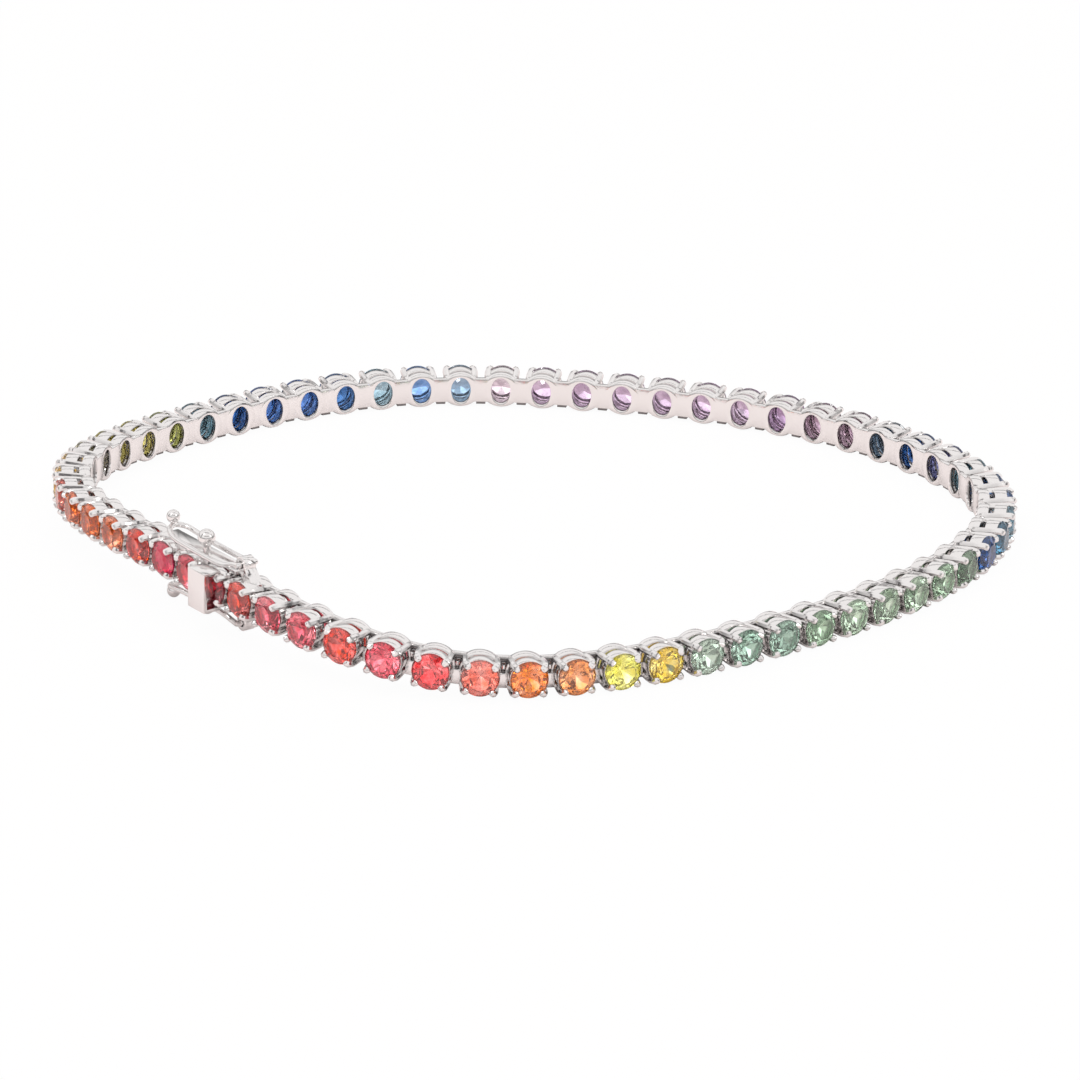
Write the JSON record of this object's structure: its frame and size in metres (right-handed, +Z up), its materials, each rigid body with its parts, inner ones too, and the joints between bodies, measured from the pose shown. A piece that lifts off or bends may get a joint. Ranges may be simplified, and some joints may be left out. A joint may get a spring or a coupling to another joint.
{
  "type": "tennis bracelet",
  "caption": "Closed line bracelet of round stones in four-prong links, with a box clasp, a press tab and two swinging safety catches.",
  "frame": {"origin": "under the middle of the whole bracelet, on the surface that it stands on", "axes": "+Z up across the band's width, +X to the right and +Y away as the picture sees it, with the clasp at the left front"},
  "size_m": [0.0636, 0.0574, 0.006],
  "materials": {
    "white_gold": "polished, rhodium-bright, with fine wear",
    "sapphire": "round cut stones that run through the colours of the rainbow"
  },
  "bodies": {
    "bracelet": {"link_run_front": "white_gold", "link_run_back": "white_gold", "clasp_box": "white_gold", "clasp_tongue": "white_gold"},
    "catch_top": {"safety_catch_top": "white_gold"},
    "catch_bottom": {"safety_catch_bottom": "white_gold"}
  },
  "joints": [
    {"name": "catch_top_swing", "type": "hinge", "parent": "bracelet", "child": "catch_top", "pos_m": [-0.01793, -0.01834, 0.00493], "axis": [0.807, 0.5906, 0], "range_deg": [0, 120]},
    {"name": "catch_bottom_swing", "type": "hinge", "parent": "bracelet", "child": "catch_bottom", "pos_m": [-0.01793, -0.01834, 0.00105], "axis": [-0.807, -0.5906, 0], "range_deg": [0, 120]}
  ]
}
